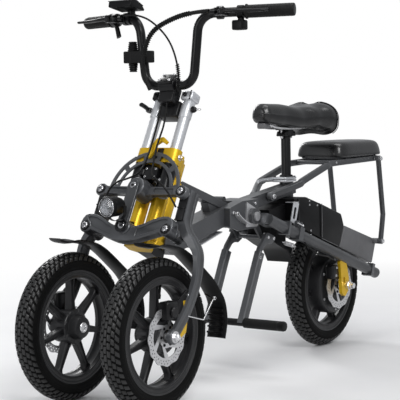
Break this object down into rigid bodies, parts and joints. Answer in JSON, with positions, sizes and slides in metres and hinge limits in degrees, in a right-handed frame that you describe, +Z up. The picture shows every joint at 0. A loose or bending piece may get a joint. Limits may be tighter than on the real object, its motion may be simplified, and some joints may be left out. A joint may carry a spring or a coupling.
{
  "type": "folding electric tricycle",
  "caption": "Folding reverse tricycle: leaning front wheels on a parallelogram, raked telescopic bar, saddle, rear pad on a folding rack, hub-motor rear wheel.",
  "frame": {"origin": "on the floor under the middle of the whole vehicle's box", "axes": "+Z up, -Y forwards (the two front wheels), +X to the rider's left"},
  "size_m": [0.6542, 1.3764, 0.9747],
  "materials": {
    "gunmetal": "satin dark grey metallic powder coat",
    "black_metal": "satin black powder coat",
    "gold": "gold anodised, satin",
    "silver": "satin anodised",
    "steel": "drilled and brushed",
    "chrome": "polished",
    "tyre": "moulded block tread",
    "cast_black": "satin black cast alloy",
    "rubber": "fine matt rubber",
    "plastic": "fine-grained black plastic",
    "grey_plastic": "fine textured mid grey",
    "gloss_plastic": "glossy black plastic",
    "lens": "clear moulded lens",
    "saddle_cover": "smooth black synthetic leather"
  },
  "bodies": {
    "frame": {"head_tube": "gold", "top_member": "gunmetal", "lower_beam": "gunmetal", "centre_box": "gunmetal", "fold_pins": "steel", "seat_beam": "gunmetal", "seat_clamp": "silver"},
    "truck": {"crown": "gold", "column": "gold", "front_plate": "gunmetal", "headlight_pod": "plastic", "headlight_lens": "lens", "column_cables": "rubber"},
    "crown_lever": {"crown_lever": "gold"},
    "upper_arm": {"upper_arm": "gunmetal", "lock_ring": "gunmetal"},
    "lower_arm": {"lower_arm": "gunmetal"},
    "carrier_l": {"upright_l": "gunmetal", "fender_l": "plastic", "caliper_l": "black_metal"},
    "carrier_r": {"upright_r": "gunmetal", "fender_r": "plastic", "caliper_r": "black_metal"},
    "wheel_l": {"tyre_l": "tyre", "wheel_l": "cast_black", "rotor_l": "steel"},
    "wheel_r": {"tyre_r": "tyre", "wheel_r": "cast_black", "rotor_r": "steel"},
    "bar": {"stanchions": "silver", "stem": "black_metal", "handlebar": "black_metal", "grips": "rubber", "lever_perches": "black_metal", "display": "gloss_plastic", "switch_pod": "plastic", "bar_cables": "rubber"},
    "stem_lever": {"stem_lever": "chrome"},
    "brake_lever_l": {"brake_lever_l": "black_metal"},
    "brake_lever_r": {"brake_lever_r": "black_metal"},
    "throttle": {"throttle": "plastic"},
    "horn_button": {"horn_button": "gloss_plastic"},
    "seat": {"seat_post": "black_metal", "saddle": "saddle_cover"},
    "seat_lever": {"seat_lever": "silver"},
    "rear": {"rails": "gunmetal", "dropouts": "gold", "battery_case": "plastic", "tail_box": "grey_plastic", "rear_guard": "plastic", "rear_axle": "chrome", "rear_cable": "rubber"},
    "wheel_rear": {"tyre_rear": "tyre", "wheel_rear": "cast_black"},
    "rack": {"rack": "gunmetal", "pad": "saddle_cover"},
    "struts": {"struts": "gunmetal"},
    "footrest": {"footrest": "gunmetal", "foot_pegs": "rubber"},
    "release_lever": {"release_lever": "steel"}
  },
  "joints": [
    {"name": "steering", "type": "hinge", "parent": "frame", "child": "truck", "pos_m": [0, -0.34104, 0.36404], "axis": [0, 0.4617, 0.887], "range_deg": [-35, 35]},
    {"name": "lean", "type": "hinge", "parent": "truck", "child": "upper_arm", "pos_m": [0, -0.38662, 0.50389], "axis": [0, 0.887, -0.4617], "range_deg": [-20, 20], "deforming": ["column_cables"]},
    {"name": "lean_lower", "type": "hinge", "parent": "truck", "child": "lower_arm", "pos_m": [0, -0.43931, 0.4135], "axis": [0, 0.887, -0.4617], "range_deg": [-20, 20]},
    {"name": "carrier_l_pivot", "type": "hinge", "parent": "upper_arm", "child": "carrier_l", "pos_m": [0.1225, -0.36444, 0.49234], "axis": [0, 0.887, -0.4617], "range_deg": [-20, 20]},
    {"name": "carrier_r_pivot", "type": "hinge", "parent": "upper_arm", "child": "carrier_r", "pos_m": [-0.1225, -0.36444, 0.49234], "axis": [0, 0.887, -0.4617], "range_deg": [-20, 20]},
    {"name": "wheel_l_spin", "type": "hinge", "parent": "carrier_l", "child": "wheel_l", "pos_m": [0.129, -0.508, 0.18], "axis": [1, 0, 0], "continuous": true},
    {"name": "wheel_r_spin", "type": "hinge", "parent": "carrier_r", "child": "wheel_r", "pos_m": [-0.129, -0.508, 0.18], "axis": [1, 0, 0], "continuous": true},
    {"name": "crown_lever_turn", "type": "hinge", "parent": "truck", "child": "crown_lever", "pos_m": [0.002, -0.33536, 0.60234], "axis": [0, 0.887, -0.4617], "range_deg": [0, 75]},
    {"name": "bar_height", "type": "slide", "parent": "truck", "child": "bar", "axis": [0, 0.4617, 0.887], "range_m": [-0.08, 0], "deforming": ["column_cables"]},
    {"name": "stem_lever_turn", "type": "hinge", "parent": "bar", "child": "stem_lever", "pos_m": [-0.063, -0.25242, 0.69671], "axis": [-1, 0, 0], "range_deg": [0, 150]},
    {"name": "brake_lever_l_pull", "type": "hinge", "parent": "bar", "child": "brake_lever_l", "pos_m": [0.17568, -0.28671, 0.9293], "axis": [0, 0, 1], "range_deg": [0, 12], "stiffness_Nm_per_rad": 4},
    {"name": "brake_lever_r_pull", "type": "hinge", "parent": "bar", "child": "brake_lever_r", "pos_m": [-0.17568, -0.28671, 0.9293], "axis": [0, 0, -1], "range_deg": [0, 12], "stiffness_Nm_per_rad": 4},
    {"name": "throttle_push", "type": "hinge", "parent": "bar", "child": "throttle", "pos_m": [-0.19305, -0.23111, 0.92944], "axis": [-0.9555, 0.295, 0.0042], "range_deg": [0, 40], "stiffness_Nm_per_rad": 0.6},
    {"name": "horn_press", "type": "slide", "parent": "bar", "child": "horn_button", "axis": [0, -1, 0], "range_m": [0, 0.002], "stiffness_N_per_m": 400},
    {"name": "seat_height", "type": "slide", "parent": "frame", "child": "seat", "axis": [0, 0, 1], "range_m": [-0.01, 0.05]},
    {"name": "seat_lever_open", "type": "hinge", "parent": "frame", "child": "seat_lever", "pos_m": [-0.026, 0.24, 0.4973], "axis": [-1, 0, 0], "range_deg": [0, 90]},
    {"name": "fold", "type": "hinge", "parent": "frame", "child": "rear", "pos_m": [0, 0.022, 0.413], "axis": [-1, 0, 0], "range_deg": [0, 60]},
    {"name": "wheel_rear_spin", "type": "hinge", "parent": "rear", "child": "wheel_rear", "pos_m": [0, 0.46, 0.18], "axis": [1, 0, 0], "continuous": true},
    {"name": "rack_swing", "type": "hinge", "parent": "frame", "child": "rack", "pos_m": [0, 0.147, 0.457], "axis": [-1, 0, 0], "range_deg": [0, 69]},
    {"name": "strut_swing", "type": "hinge", "parent": "rack", "child": "struts", "pos_m": [0, 0.652, 0.541], "axis": [1, 0, 0], "range_deg": [0, 26.4]},
    {"name": "footrest_swing", "type": "hinge", "parent": "frame", "child": "footrest", "pos_m": [0, 0.08, 0.352], "axis": [-1, 0, 0], "range_deg": [0, 30]},
    {"name": "release_pull", "type": "hinge", "parent": "frame", "child": "release_lever", "pos_m": [0.0548, -0.056, 0.424], "axis": [-1, 0, 0], "range_deg": [0, 20], "stiffness_Nm_per_rad": 1.5}
  ],
  "couplings": [
    {"joint": "lean_lower", "follows": "lean", "ratio": 1},
    {"joint": "carrier_l_pivot", "follows": "lean", "ratio": -1},
    {"joint": "carrier_r_pivot", "follows": "lean", "ratio": -1},
    {"joint": "rack_swing", "follows": "fold", "ratio": 1.15},
    {"joint": "strut_swing", "follows": "fold", "ratio": 0.44},
    {"joint": "footrest_swing", "follows": "fold", "ratio": 0.5}
  ]
}
